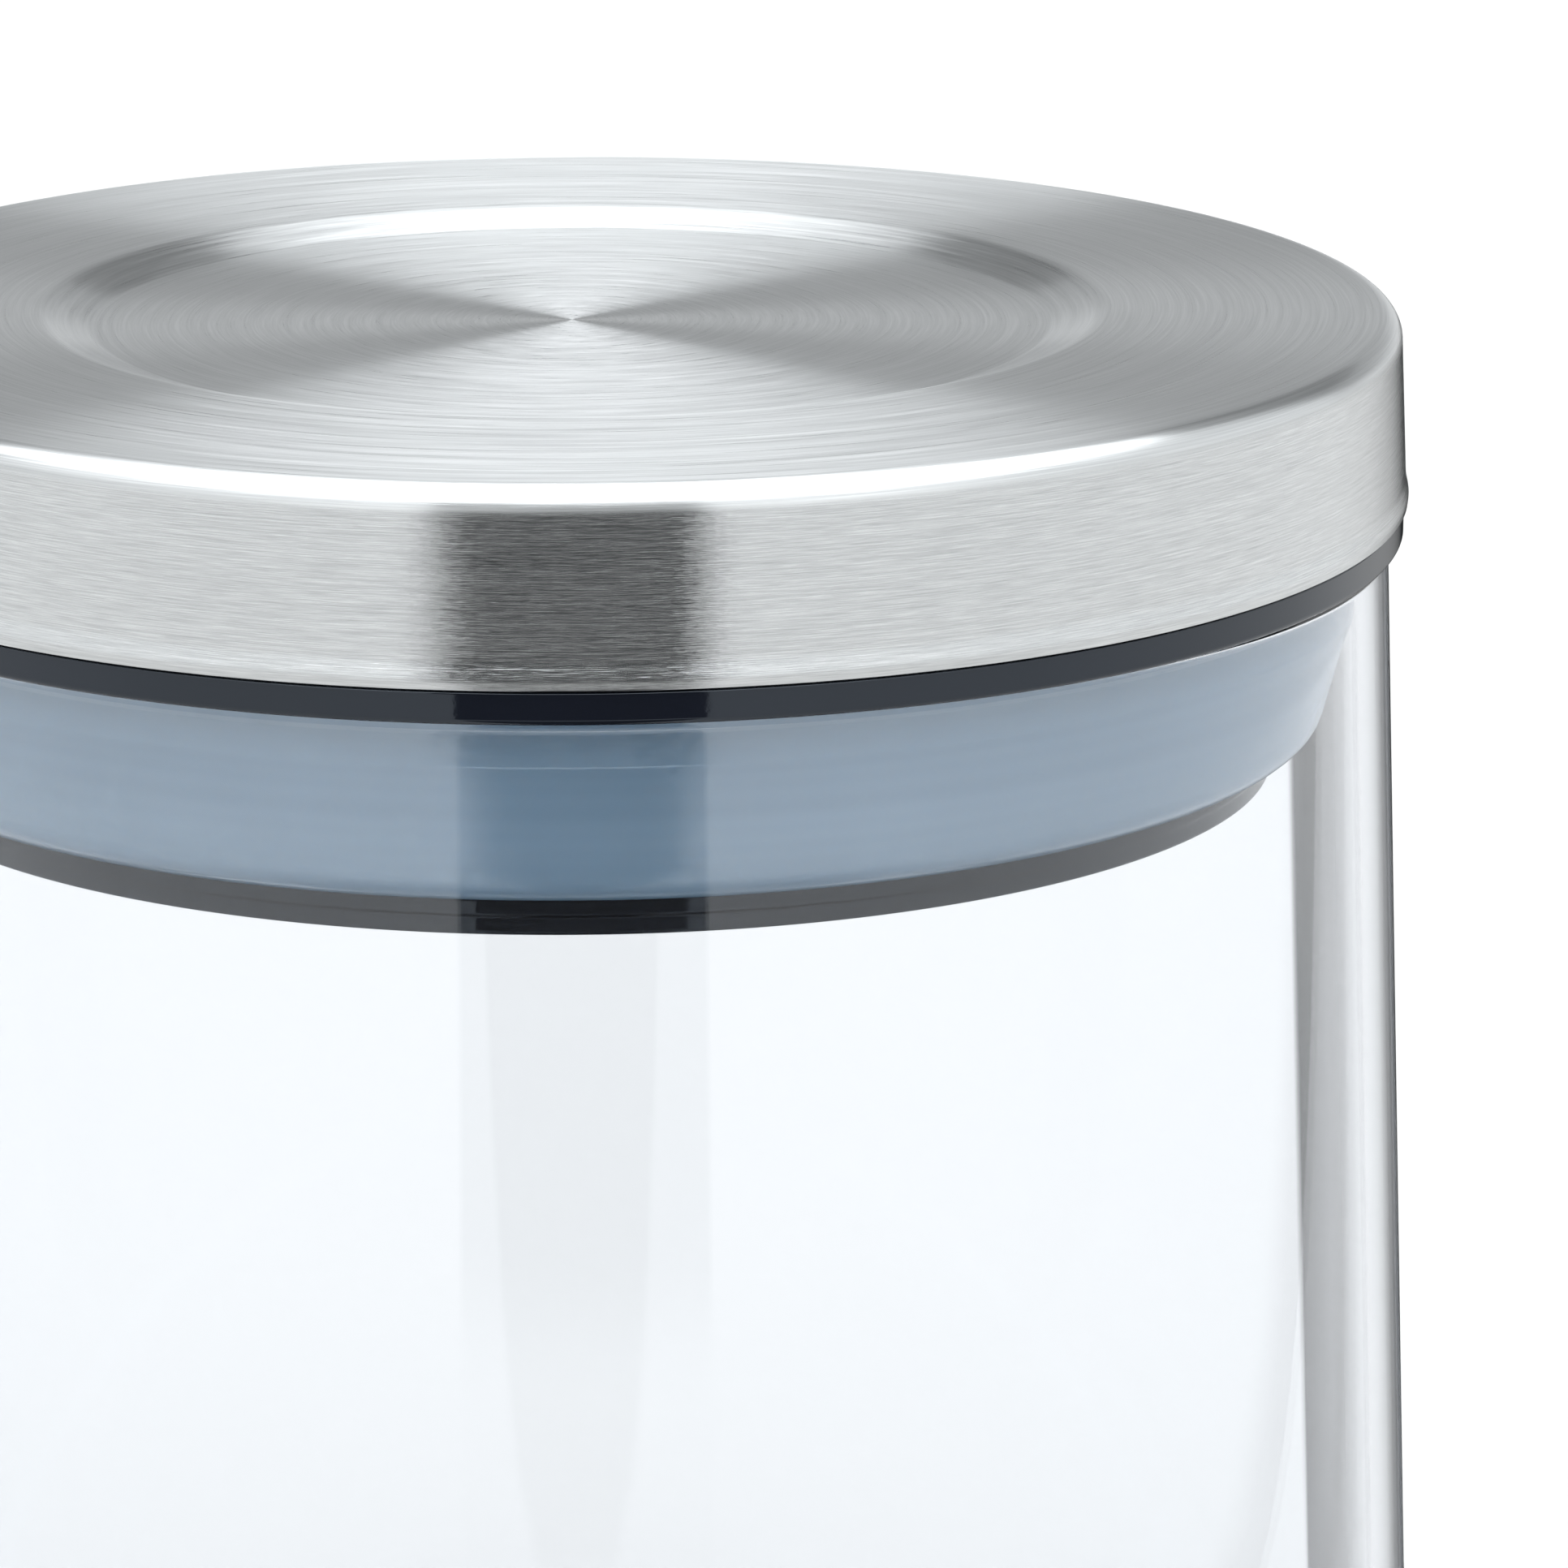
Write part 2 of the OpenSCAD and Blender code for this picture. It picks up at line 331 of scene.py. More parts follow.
def rounded(corners, arc_steps=8, lead=0.12):
    """Stations along an outline of (radius, height, rounding) corners, with tangent arcs at the corners."""
    stations = []
    for i, (x, z, r) in enumerate(corners):
        if r == 0:
            stations.append((x, z))
            continue
        before, after = corners[i - 1], corners[(i + 1) % len(corners)]
        ax, az = before[0] - x, before[1] - z
        bx, bz = after[0] - x, after[1] - z
        la, lb = math.hypot(ax, az), math.hypot(bx, bz)
        ax, az, bx, bz = ax / la, az / la, bx / lb, bz / lb
        half = math.acos(max(-1, min(1, ax * bx + az * bz))) / 2
        run = r / math.tan(half)
        to_centre = r / math.sin(half)
        mx, mz = ax + bx, az + bz
        ml = math.hypot(mx, mz)
        cx, cz = x + mx / ml * to_centre, z + mz / ml * to_centre
        start = math.atan2(z + az * run - cz, x + ax * run - cx)
        sweep = math.atan2(z + bz * run - cz, x + bx * run - cx) - start
        sweep = (sweep + math.pi) % (2 * math.pi) - math.pi
        reach = run + lead * r
        if reach < la / 2:
            stations.append((x + ax * reach, z + az * reach))
        for k in range(arc_steps + 1):
            a = start + sweep * k / arc_steps
            stations.append((cx + r * math.cos(a), cz + r * math.sin(a)))
        if reach < lb / 2:
            stations.append((x + bx * reach, z + bz * reach))
    return stations


def turned(name, stations):
    """A turned piece: a circle drawn through the stations, closed at the axis or back on itself."""
    on_axis = stations[0][0] == 0
    rings = [s for s in stations if s[0] > 0]
    bpy.ops.object.select_all(action="DESELECT")
    bpy.ops.mesh.primitive_circle_add(
        vertices=LATHE_STEPS, radius=rings[0][0] * MM, location=(0, 0, rings[0][1] * MM)
    )
    piece = bpy.context.object
    piece.name = piece.data.name = name
    bpy.ops.object.transform_apply(location=True, rotation=True, scale=True)
    bpy.ops.object.mode_set(mode="EDIT")
    bpy.ops.mesh.select_mode(type="EDGE")
    bpy.ops.mesh.select_all(action="SELECT")
    if on_axis:
        bpy.ops.mesh.edge_face_add()
        bpy.ops.mesh.poke()
        bpy.ops.mesh.select_all(action="SELECT")
        bpy.ops.mesh.region_to_loop()
    for (r0, z0), (r1, z1) in zip(rings, rings[1:]):
        bpy.ops.mesh.extrude_edges_move(TRANSFORM_OT_translate={"value": (0, 0, (z1 - z0) * MM)})
        bpy.ops.transform.resize(value=(r1 / r0, r1 / r0, 1), center_override=(0, 0, z1 * MM))
    if on_axis:
        bpy.ops.mesh.edge_face_add()
        bpy.ops.mesh.poke()
    else:
        bpy.ops.mesh.select_all(action="DESELECT")
        bpy.ops.mesh.select_non_manifold()
        bpy.ops.mesh.bridge_edge_loops()
    bpy.ops.mesh.select_all(action="SELECT")
    bpy.ops.mesh.remove_doubles(threshold=0.0000005)
    bpy.ops.mesh.normals_make_consistent(inside=False)
    bpy.ops.object.mode_set(mode="OBJECT")
    bpy.ops.object.shade_smooth_by_angle(angle=math.radians(30))
    return piece


jar_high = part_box("glass_jar")[1]
RIM_Z = jar_high.z / MM
WALL_T = 2.0
WALL_LEAN = math.radians(2)
FOOT_EDGE_R = 4.0
FOOT_RING_W = 5.0
RIM_ROUND_R = 0.7
wall_low_z = FOOT_EDGE_R * (1 + math.sin(WALL_LEAN))
wall_low_r = jar_high.x / MM - FOOT_EDGE_R * (1 - math.cos(WALL_LEAN))


def glass_r(z, inset=0.0):
    """Radius of the leaning wall at a height, from its outside inwards."""
    return wall_low_r + math.tan(WALL_LEAN) * (wall_low_z - z) - inset


BASE_T = 5.0
PUSH_UP = 1.4
PUSH_UP_SLOPE_W = 6.0
foot_in = glass_r(0) - FOOT_EDGE_R - FOOT_RING_W
jar = turned("jar", rounded([
    (0, PUSH_UP, 0),
    (foot_in - PUSH_UP_SLOPE_W, PUSH_UP, 4),
    (foot_in, 0, 1.2),
    (glass_r(0), 0, FOOT_EDGE_R),
    (glass_r(RIM_Z), RIM_Z, RIM_ROUND_R),
    (glass_r(RIM_Z, WALL_T), RIM_Z, RIM_ROUND_R),
    (glass_r(BASE_T, WALL_T), BASE_T, 6),
    (0, BASE_T, 0),
], arc_steps=12))

glass = bpy.data.materials.new("clear_glass")
glass.use_nodes = True
tree = glass.node_tree
tree.nodes.clear()
place = add_node(tree, "ShaderNodeTexCoord")
drawn = add_node(tree, "ShaderNodeMapping", inputs={"Scale": (1, 1, 0.35)})
tree.links.new(place.outputs["Object"], drawn.inputs["Vector"])
wave = add_node(tree, "ShaderNodeTexNoise", inputs={"Scale": 26, "Detail": 1, "Roughness": 0.4})
tree.links.new(drawn.outputs[0], wave.inputs["Vector"])
haze = add_node(tree, "ShaderNodeTexNoise", inputs={"Scale": 90, "Detail": 4})
tree.links.new(place.outputs["Object"], haze.inputs["Vector"])
skin = add_node(tree, "ShaderNodeBump", inputs={"Strength": 0.2, "Distance": 0.0002})
tree.links.new(wave.outputs["Fac"], skin.inputs["Height"])
body = add_node(tree, "ShaderNodeBsdfPrincipled", inputs={
    "Base Color": (0.985, 0.992, 1.0, 1), "IOR": 1.5, "Transmission Weight": 1.0,
})
tree.links.new(smooth_ramp(tree, haze.outputs["Fac"], 0.45, 0.75, 0.0, 0.012), body.inputs["Roughness"])
tree.links.new(skin.outputs[0], body.inputs["Normal"])
tint = add_node(tree, "ShaderNodeVolumeAbsorption", inputs={"Color": (0.30, 0.42, 0.62, 1), "Density": 27})
shown = add_node(tree, "ShaderNodeOutputMaterial")
tree.links.new(body.outputs[0], shown.inputs["Surface"])
tree.links.new(tint.outputs[0], shown.inputs["Volume"])
jar.data.materials.append(glass)
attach(jar, "jar")
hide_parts("glass_jar")

# ---------------------------------------------------------------------------------------------
# Steel cap: one drawn stainless sheet with a dish pressed into its top and a flared lower edge.
# The top and side are spin-brushed, so the fine scratches run round the axis.
# ---------------------------------------------------------------------------------------------
cap_low, cap_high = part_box("steel_cap")
CAP_Z, TOP_Z = cap_low.z / MM, cap_high.z / MM
CAP_R = 50.0
SHEET_T = 0.5
CAP_LEAN = math.radians(2.5)
CAP_EDGE_R = 1.4
DISH_R = 28.6
DISH_SLOPE_W = 3.1
DISH_DEPTH = 1.0
DISH_LOW_R = 1.2
DISH_HIGH_R = 3.0
FLARE_R = cap_high.x / MM - 0.01
FLARE_H = 1.5
FLARE_LOW_H = 0.55
FLARE_HIGH_ROUND_R, FLARE_LOW_ROUND_R = 2.5, 1.2
LIP_OUT = 0.06
LIP_ROUND_R = 0.1
inset = SHEET_T * math.tan(math.atan(DISH_DEPTH / DISH_SLOPE_W) / 2)
cap_top_r = CAP_R - math.tan(CAP_LEAN) * (TOP_Z - CAP_Z)
cap_in_r = CAP_R - SHEET_T / math.cos(CAP_LEAN)
cap = turned("steel_cap_skin", rounded([
    (0, TOP_Z - DISH_DEPTH, 0),
    (DISH_R, TOP_Z - DISH_DEPTH, DISH_LOW_R),
    (DISH_R + DISH_SLOPE_W, TOP_Z, DISH_HIGH_R),
    (cap_top_r, TOP_Z, CAP_EDGE_R),
    (CAP_R - math.tan(CAP_LEAN) * FLARE_H, CAP_Z + FLARE_H, FLARE_HIGH_ROUND_R),
    (FLARE_R, CAP_Z + FLARE_LOW_H, FLARE_LOW_ROUND_R),
    (CAP_R + LIP_OUT, CAP_Z, LIP_ROUND_R),
    (cap_in_r, CAP_Z, LIP_ROUND_R),
    (cap_in_r - math.tan(CAP_LEAN) * (TOP_Z - SHEET_T - CAP_Z), TOP_Z - SHEET_T, CAP_EDGE_R - SHEET_T),
    (DISH_R + DISH_SLOPE_W + inset, TOP_Z - SHEET_T, DISH_HIGH_R - SHEET_T),
    (DISH_R + inset, TOP_Z - DISH_DEPTH - SHEET_T, DISH_LOW_R + SHEET_T),
    (0, TOP_Z - DISH_DEPTH - SHEET_T, 0),
], arc_steps=10))

steel = bpy.data.materials.new("brushed_steel")
steel.use_nodes = True
tree = steel.node_tree
tree.nodes.clear()
place = add_node(tree, "ShaderNodeTexCoord")
across = add_node(tree, "ShaderNodeVectorMath", operation="MULTIPLY")
across.inputs[1].default_value = (1, 1, 0)
tree.links.new(place.outputs["Object"], across.inputs[0])
radius = add_node(tree, "ShaderNodeVectorMath", operation="LENGTH")
tree.links.new(across.outputs[0], radius.inputs[0])
outward = add_node(tree, "ShaderNodeVectorMath", operation="NORMALIZE")
tree.links.new(across.outputs[0], outward.inputs[0])
around = add_node(tree, "ShaderNodeVectorMath", operation="CROSS_PRODUCT")
around.inputs[0].default_value = (0, 0, 1)
tree.links.new(outward.outputs[0], around.inputs[1])
height = add_node(tree, "ShaderNodeSeparateXYZ")
tree.links.new(place.outputs["Object"], height.inputs[0])
along_skin = math_node(tree, "SUBTRACT", radius.outputs["Value"], height.outputs["Z"])


def brush_lines(tree, scale, arc_length, detail):
    """Noise drawn out round the axis: fine across the skin, long round the cap."""
    bearing = add_node(tree, "ShaderNodeSeparateXYZ")
    tree.links.new(outward.outputs[0], bearing.inputs[0])
    point = add_node(tree, "ShaderNodeCombineXYZ")
    tree.links.new(math_node(tree, "MULTIPLY", along_skin, scale), point.inputs[0])
    tree.links.new(math_node(tree, "MULTIPLY", bearing.outputs["X"], arc_length), point.inputs[1])
    tree.links.new(math_node(tree, "MULTIPLY", bearing.outputs["Y"], arc_length), point.inputs[2])
    lines = add_node(tree, "ShaderNodeTexNoise", inputs={"Scale": 1.0, "Detail": detail, "Roughness": 0.65})
    tree.links.new(point.outputs[0], lines.inputs["Vector"])
    return lines.outputs["Fac"]


SIDE_ENDS_BELOW_TOP, TOP_STARTS_BELOW_TOP = 1.8, 1.2
on_top = smooth_ramp(
    tree, height.outputs["Z"], (TOP_Z - SIDE_ENDS_BELOW_TOP) * MM, (TOP_Z - TOP_STARTS_BELOW_TOP) * MM
)
side_lines = math_node(
    tree, "ADD", math_node(tree, "MULTIPLY", brush_lines(tree, 15000, 20.0, 2), 0.6),
    math_node(tree, "MULTIPLY", brush_lines(tree, 11000, 3.5, 2), 0.4),
)
top_lines = math_node(
    tree, "ADD", math_node(tree, "MULTIPLY", brush_lines(tree, 9000, 4.5, 2), 0.5),
    math_node(tree, "MULTIPLY", brush_lines(tree, 4200, 1.5, 2), 0.5),
)
scratches = blended(tree, on_top, side_lines, top_lines)
grooves = add_node(tree, "ShaderNodeBump", inputs={"Strength": 0.6, "Distance": 0.00003})
tree.links.new(scratches, grooves.inputs["Height"])
shade = add_node(tree, "ShaderNodeValToRGB")
shade.color_ramp.elements[0].position = 0.3
shade.color_ramp.elements[0].color = (0.49, 0.505, 0.51, 1)
shade.color_ramp.elements[1].position = 0.7
shade.color_ramp.elements[1].color = (0.74, 0.755, 0.76, 1)
tree.links.new(scratches, shade.inputs["Fac"])
lobes = add_node(tree, "ShaderNodeMixShader", inputs={"Fac": 0.35})
for slot, low, high, side_drop in ((1, 0.27, 0.34, -0.14), (2, 0.13, 0.18, -0.04)):
    body = add_node(tree, "ShaderNodeBsdfPrincipled", inputs={
        "Metallic": 1.0, "Anisotropic": 1.0, "Anisotropic Rotation": 0.25,
    })
    tree.links.new(shade.outputs["Color"], body.inputs["Base Color"])
    rough = smooth_ramp(tree, scratches, 0.3, 0.7, low, high)
    drop = math_node(tree, "MULTIPLY", math_node(tree, "SUBTRACT", 1.0, on_top), side_drop)
    tree.links.new(math_node(tree, "ADD", rough, drop), body.inputs["Roughness"])
    tree.links.new(grooves.outputs[0], body.inputs["Normal"])
    tree.links.new(around.outputs[0], body.inputs["Tangent"])
    tree.links.new(body.outputs[0], lobes.inputs[slot])
tree.links.new(lobes.outputs[0], add_node(tree, "ShaderNodeOutputMaterial").inputs["Surface"])
cap.data.materials.append(steel)
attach(cap, "lid")
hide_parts("steel_cap")

# ---------------------------------------------------------------------------------------------
# Bond pad: a ring of grey adhesive that holds the cap's dish down on the plug's deck.
# It is squeezed flat when the cap is pressed on, so its edges bulge a little.
# ---------------------------------------------------------------------------------------------
pad_low, pad_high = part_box("bond_pad")
PAD_R = pad_high.x / MM
PAD_LOW_Z, PAD_HIGH_Z = pad_low.z / MM, pad_high.z / MM
pad = turned("adhesive_ring", rounded([
    (PAD_R / 2, PAD_LOW_Z, 0.15),
    (PAD_R, PAD_LOW_Z, 0.15),
    (PAD_R, PAD_HIGH_Z, 0.15),
    (PAD_R / 2, PAD_HIGH_Z, 0.15),
], arc_steps=4))

adhesive = bpy.data.materials.new("adhesive")
adhesive.use_nodes = True
tree = adhesive.node_tree
body = tree.nodes["Principled BSDF"]
place = add_node(tree, "ShaderNodeTexCoord")
lumps = add_node(tree, "ShaderNodeTexNoise", inputs={"Scale": 700, "Detail": 5})
tree.links.new(place.outputs["Object"], lumps.inputs["Vector"])
shade = add_node(tree, "ShaderNodeValToRGB")
shade.color_ramp.elements[0].color = (0.10, 0.10, 0.105, 1)
shade.color_ramp.elements[1].color = (0.20, 0.20, 0.21, 1)
tree.links.new(lumps.outputs["Fac"], shade.inputs["Fac"])
tree.links.new(shade.outputs["Color"], body.inputs["Base Color"])
tree.links.new(smooth_ramp(tree, lumps.outputs["Fac"], 0.3, 0.7, 0.55, 0.75), body.inputs["Roughness"])
relief = add_node(tree, "ShaderNodeBump", inputs={"Strength": 0.4, "Distance": 0.0001})
tree.links.new(lumps.outputs["Fac"], relief.inputs["Height"])
tree.links.new(relief.outputs[0], body.inputs["Normal"])
pad.data.materials.append(adhesive)
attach(pad, "lid")
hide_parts("bond_pad")

# ---------------------------------------------------------------------------------------------
# Plug: glossy black plastic, one moulding of flange, plug wall, deck, skirt and twelve ribs.
# The cap is pushed over the skirt and glued to the deck; the flange lies on the glass's rim.
# ---------------------------------------------------------------------------------------------
core_low, core_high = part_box("lid_core")
seal_low, seal_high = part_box("seal_ring")
CORE_GAP = 0.08
PRESS_GAP = 0.03
PLUG_WALL_T = 2.0
FLANGE_R = core_high.x / MM
FLANGE_Z = seal_high.z / MM + CORE_GAP
PLUG_R = 41.05
BORE_R = PLUG_R - PLUG_WALL_T
PLUG_LOW_Z = core_low.z / MM
PLATE_Z = PLUG_LOW_Z - PRESS_GAP
DECK_Z = PAD_LOW_Z
DECK_T = 2.0
SKIRT_T = 1.8
SKIRT_TOP_Z = TOP_Z - SHEET_T - CAP_EDGE_R
SKIRT_LOW_R = cap_in_r - PRESS_GAP
skirt_top_r = SKIRT_LOW_R - math.tan(CAP_LEAN) * (SKIRT_TOP_Z - CAP_Z)
FLANGE_TOP_Z = CAP_Z - 0.12
SNAP_Z = PLATE_Z + 4
SNAP_H = 0.35
SNAP_D = 0.3
plug = turned("plug", rounded([
    (0, DECK_Z, 0),
    (PLUG_R, DECK_Z, 0.3),
    (PLUG_R, CAP_Z, 0.4),
    (SKIRT_LOW_R - SKIRT_T, CAP_Z, 0.4),
    (skirt_top_r - SKIRT_T, SKIRT_TOP_Z, 0.25),
    (skirt_top_r, SKIRT_TOP_Z, 0.25),
    (SKIRT_LOW_R, FLANGE_TOP_Z, 0),
    (FLANGE_R, FLANGE_TOP_Z, 0.12),
    (FLANGE_R, FLANGE_Z, 0.35),
    (PLUG_R, FLANGE_Z, 0.3),
    (PLUG_R, PLUG_LOW_Z, 0.2),
    (BORE_R, PLUG_LOW_Z, 0.15),
    (BORE_R, SNAP_Z - SNAP_H, 0),
    (BORE_R + SNAP_D, SNAP_Z, 0),
    (BORE_R, SNAP_Z + SNAP_H, 0),
    (BORE_R, DECK_Z - DECK_T, 0.6),
    (0, DECK_Z - DECK_T, 0),
], arc_steps=8))

RIB_COUNT = 12
RIB_T = 1.5
RIB_BURIED = 0.5
rib_in, rib_out = PLUG_R - RIB_BURIED, skirt_top_r - SKIRT_T + RIB_BURIED
rib_low_z, rib_high_z = CAP_Z - RIB_BURIED, core_high.z / MM
bpy.ops.object.select_all(action="DESELECT")
bpy.ops.mesh.primitive_cube_add(
    size=1, location=((rib_in + rib_out) / 2 * MM, 0, (rib_low_z + rib_high_z) / 2 * MM)
)
first_rib = bpy.context.object
first_rib.scale = ((rib_out - rib_in) * MM, RIB_T * MM, (rib_high_z - rib_low_z) * MM)
bpy.ops.object.transform_apply(location=True, rotation=True, scale=True)
bpy.ops.object.mode_set(mode="EDIT")
bpy.ops.mesh.select_all(action="SELECT")
bpy.ops.mesh.bevel(offset=0.0002, segments=2, affect="EDGES")
bpy.ops.object.mode_set(mode="OBJECT")
for i in range(1, RIB_COUNT):
    bpy.ops.object.select_all(action="DESELECT")
    first_rib.select_set(True)
    bpy.context.view_layer.objects.active = first_rib
    bpy.ops.object.duplicate(linked=False)
    bpy.context.object.rotation_euler.z = math.tau * i / RIB_COUNT
    bpy.context.object.name = f"rib_{i}"
for other in [o for o in scene.objects if o.name.startswith("rib_")]:
    other.select_set(True)
first_rib.select_set(True)
bpy.context.view_layer.objects.active = first_rib
bpy.ops.object.join()
fused = plug.modifiers.new("ribs", "BOOLEAN")
fused.operation = "UNION"
fused.solver = "EXACT"
fused.object = first_rib
bpy.ops.object.select_all(action="DESELECT")
plug.select_set(True)
bpy.context.view_layer.objects.active = plug
bpy.ops.object.modifier_apply(modifier="ribs")
bpy.data.objects.remove(first_rib)
bpy.ops.object.shade_smooth_by_angle(angle=math.radians(30))

black = bpy.data.materials.new("black_plastic")
black.use_nodes = True
tree = black.node_tree
body = tree.nodes["Principled BSDF"]
body.inputs["IOR"].default_value = 1.58
body.inputs["Specular Tint"].default_value = (0.80, 0.90, 1.0, 1)
place = add_node(tree, "ShaderNodeTexCoord")
flow = add_node(tree, "ShaderNodeTexNoise", inputs={"Scale": 60, "Detail": 3})
tree.links.new(place.outputs["Object"], flow.inputs["Vector"])
grain = add_node(tree, "ShaderNodeTexNoise", inputs={"Scale": 2500, "Detail": 2})
tree.links.new(place.outputs["Object"], grain.inputs["Vector"])
shade = add_node(tree, "ShaderNodeValToRGB")
shade.color_ramp.elements[0].color = (0.003, 0.0038, 0.0065, 1)
shade.color_ramp.elements[1].color = (0.006, 0.0075, 0.0125, 1)
tree.links.new(flow.outputs["Fac"], shade.inputs["Fac"])
tree.links.new(shade.outputs["Color"], body.inputs["Base Color"])
tree.links.new(smooth_ramp(tree, flow.outputs["Fac"], 0.35, 0.7, 0.03, 0.06), body.inputs["Roughness"])
relief = add_node(tree, "ShaderNodeBump", inputs={"Strength": 0.15, "Distance": 0.00001})
tree.links.new(grain.outputs["Fac"], relief.inputs["Height"])
tree.links.new(relief.outputs[0], body.inputs["Normal"])
plug.data.materials.append(black)
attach(plug, "lid")
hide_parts("lid_core")

# ---------------------------------------------------------------------------------------------
# Seal: a hollow ring of translucent blue-grey silicone, moulded and stretched over the plug.
# Its top band presses on the glass, its flank falls away below, and two chambers let it give.
# ---------------------------------------------------------------------------------------------
SEAL_IN = PLUG_R + CORE_GAP
SEAL_OUT = seal_high.x / MM
SEAL_LOW_Z, SEAL_HIGH_Z = seal_low.z / MM, seal_high.z / MM
BAND_TOP_R = 0.8
BAND_H = 2.1
BAND_LOW_Z = SEAL_HIGH_Z - BAND_TOP_R - BAND_H
FLANK_LEAN = math.radians(14)
FLANK = math.tan(FLANK_LEAN)
SEAL_ROUND_R = 2.7
SEAL_WALL_T = 1.6
round_z = SEAL_LOW_Z + SEAL_ROUND_R
round_x = SEAL_OUT - FLANK * (BAND_LOW_Z - round_z) - SEAL_ROUND_R / math.cos(FLANK_LEAN)
low_corner_r = SEAL_OUT - FLANK * (BAND_LOW_Z - SEAL_LOW_Z)
CHAMBER_R = round_x + SEAL_ROUND_R - SEAL_WALL_T
CHAMBER_STEP = 0.8
WEB_T = 1.2
WEB_LOW_Z = (SEAL_LOW_Z + SEAL_HIGH_Z) / 2 - WEB_T / 2
WEB_HIGH_Z = WEB_LOW_Z + WEB_T
LAND_H = 1.8
seal = turned("seal", rounded([
    (SEAL_IN, SEAL_LOW_Z, 0.2),
    (low_corner_r, SEAL_LOW_Z, SEAL_ROUND_R),
    (SEAL_OUT, BAND_LOW_Z, 1.0),
    (SEAL_OUT, SEAL_HIGH_Z, BAND_TOP_R),
    (SEAL_IN, SEAL_HIGH_Z, 0.2),
    (SEAL_IN, SEAL_HIGH_Z - LAND_H, 0.2),
    (CHAMBER_R, SEAL_HIGH_Z - LAND_H, 0.4),
    (CHAMBER_R, WEB_HIGH_Z, 0.4),
    (SEAL_IN, WEB_HIGH_Z, 0.2),
    (SEAL_IN, WEB_LOW_Z, 0.2),
    (CHAMBER_R, WEB_LOW_Z, 0.4),
    (CHAMBER_R - CHAMBER_STEP, SEAL_LOW_Z + LAND_H, 0.4),
    (SEAL_IN, SEAL_LOW_Z + LAND_H, 0.2),
], arc_steps=8))

silicone = bpy.data.materials.new("grey_silicone")
silicone.use_nodes = True
tree = silicone.node_tree
body = tree.nodes["Principled BSDF"]
body.inputs["IOR"].default_value = 1.8
body.inputs["Specular IOR Level"].default_value = 1.0
body.inputs["Subsurface Weight"].default_value = 0.35
body.inputs["Subsurface Radius"].default_value = (0.6, 0.8, 1.0)
body.inputs["Subsurface Scale"].default_value = 0.0012
place = add_node(tree, "ShaderNodeTexCoord")
cloud = add_node(tree, "ShaderNodeTexNoise", inputs={"Scale": 45, "Detail": 3})
tree.links.new(place.outputs["Object"], cloud.inputs["Vector"])
bloom = add_node(tree, "ShaderNodeTexNoise", inputs={"Scale": 1400, "Detail": 3})
tree.links.new(place.outputs["Object"], bloom.inputs["Vector"])
level = add_node(tree, "ShaderNodeVectorMath", operation="MULTIPLY")
level.inputs[1].default_value = (6, 6, 700)
tree.links.new(place.outputs["Object"], level.inputs[0])
flow_rings = add_node(tree, "ShaderNodeTexNoise", inputs={"Scale": 1.0, "Detail": 1})
tree.links.new(level.outputs[0], flow_rings.inputs["Vector"])
clouds = math_node(tree, "MULTIPLY", cloud.outputs["Fac"], 0.5)
clouds = math_node(tree, "ADD", clouds, math_node(tree, "MULTIPLY", flow_rings.outputs["Fac"], 0.5))
shade = add_node(tree, "ShaderNodeValToRGB")
shade.color_ramp.elements[0].position = 0.3
shade.color_ramp.elements[0].color = (0.230, 0.355, 0.475, 1)
shade.color_ramp.elements[1].position = 0.7
shade.color_ramp.elements[1].color = (0.285, 0.425, 0.56, 1)
tree.links.new(clouds, shade.inputs["Fac"])
tree.links.new(shade.outputs["Color"], body.inputs["Base Color"])
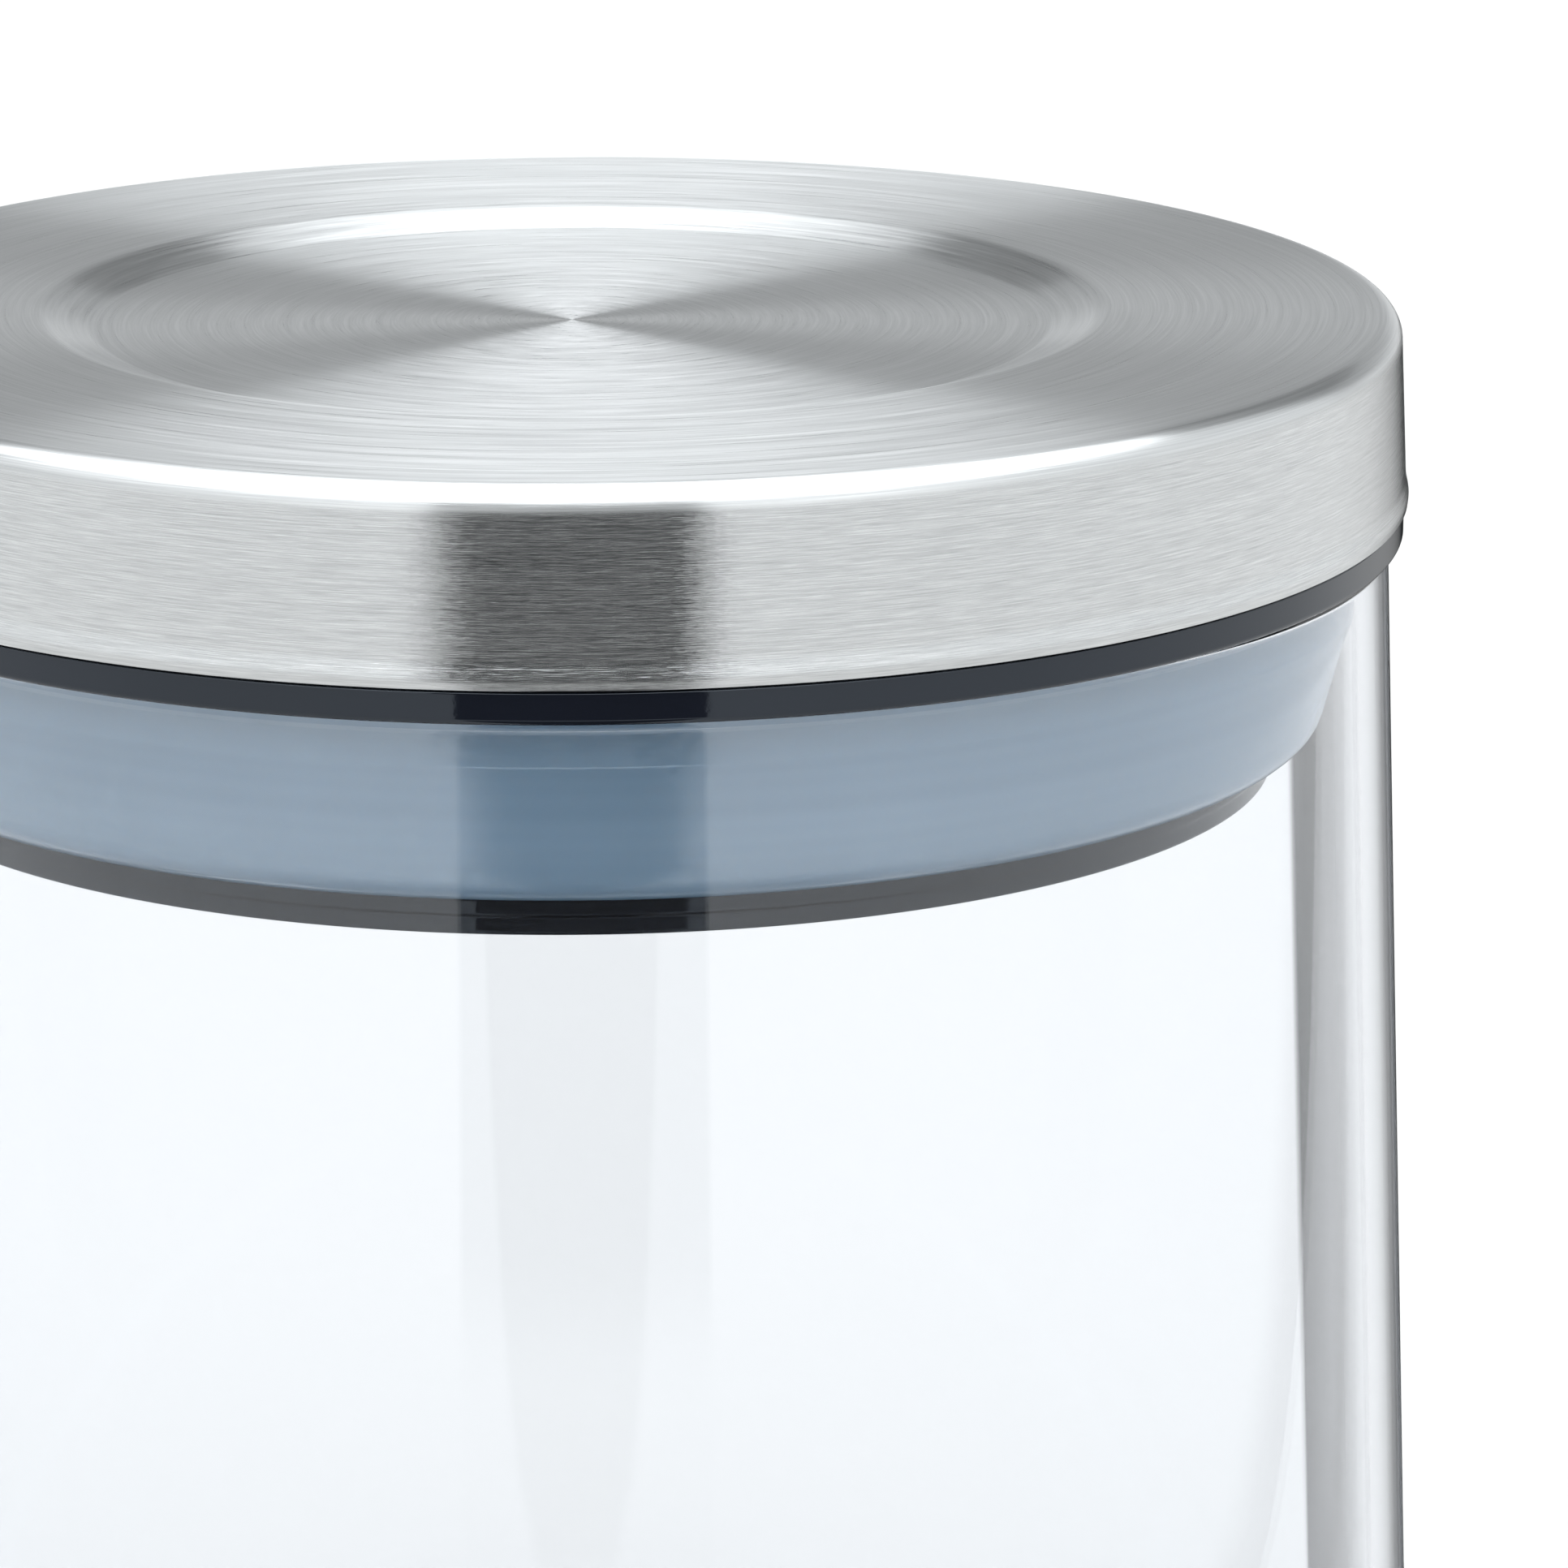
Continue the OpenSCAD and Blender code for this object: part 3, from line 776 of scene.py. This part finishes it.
tree.links.new(smooth_ramp(tree, bloom.outputs["Fac"], 0.3, 0.7, 0.12, 0.22), body.inputs["Roughness"])
relief = add_node(tree, "ShaderNodeBump", inputs={"Strength": 0.2, "Distance": 0.00003})
tree.links.new(bloom.outputs["Fac"], relief.inputs["Height"])
tree.links.new(relief.outputs[0], body.inputs["Normal"])
seal.data.materials.append(silicone)
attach(seal, "seal")
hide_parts("seal_ring")

# ---------------------------------------------------------------------------------------------
# Base plate: the same black plastic, a disc that closes the plug from below and traps the seal.
# Its spigot snaps into the plug wall, and a shallow round panel is sunk into its underside.
# ---------------------------------------------------------------------------------------------
plate_low, plate_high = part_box("base_plate")
PLATE_R = plate_high.x / MM
PLATE_LOW_Z = plate_low.z / MM
SPIGOT_TOP_Z = plate_high.z / MM
STEP_D = 0.22
STEP_Z = PLATE_Z - 0.95
SPIGOT_R = BORE_R - PRESS_GAP
SPIGOT_T = 1.6
PANEL_D = 0.4
PANEL_T = 1.8
PANEL_R = SPIGOT_R - 5
plate = turned("plug_plate", rounded([
    (0, PLATE_LOW_Z + PANEL_D, 0),
    (PANEL_R - 1, PLATE_LOW_Z + PANEL_D, 0.5),
    (PANEL_R, PLATE_LOW_Z, 0.3),
    (PLATE_R - STEP_D, PLATE_LOW_Z, 0.2),
    (PLATE_R - STEP_D, STEP_Z - STEP_D, 0.1),
    (PLATE_R, STEP_Z, 0.1),
    (PLATE_R, PLATE_Z, 0.2),
    (SPIGOT_R, PLATE_Z, 0.15),
    (SPIGOT_R, SNAP_Z - SNAP_H, 0),
    (SPIGOT_R + SNAP_D - PRESS_GAP, SNAP_Z, 0.1),
    (SPIGOT_R, SNAP_Z + SNAP_H, 0),
    (SPIGOT_R, SPIGOT_TOP_Z, 0.2),
    (SPIGOT_R - SPIGOT_T, SPIGOT_TOP_Z, 0.2),
    (SPIGOT_R - SPIGOT_T, PLATE_LOW_Z + PANEL_D + PANEL_T, 0.6),
    (0, PLATE_LOW_Z + PANEL_D + PANEL_T, 0),
], arc_steps=6))
plate.data.materials.append(black)
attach(plate, "lid")
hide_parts("base_plate")
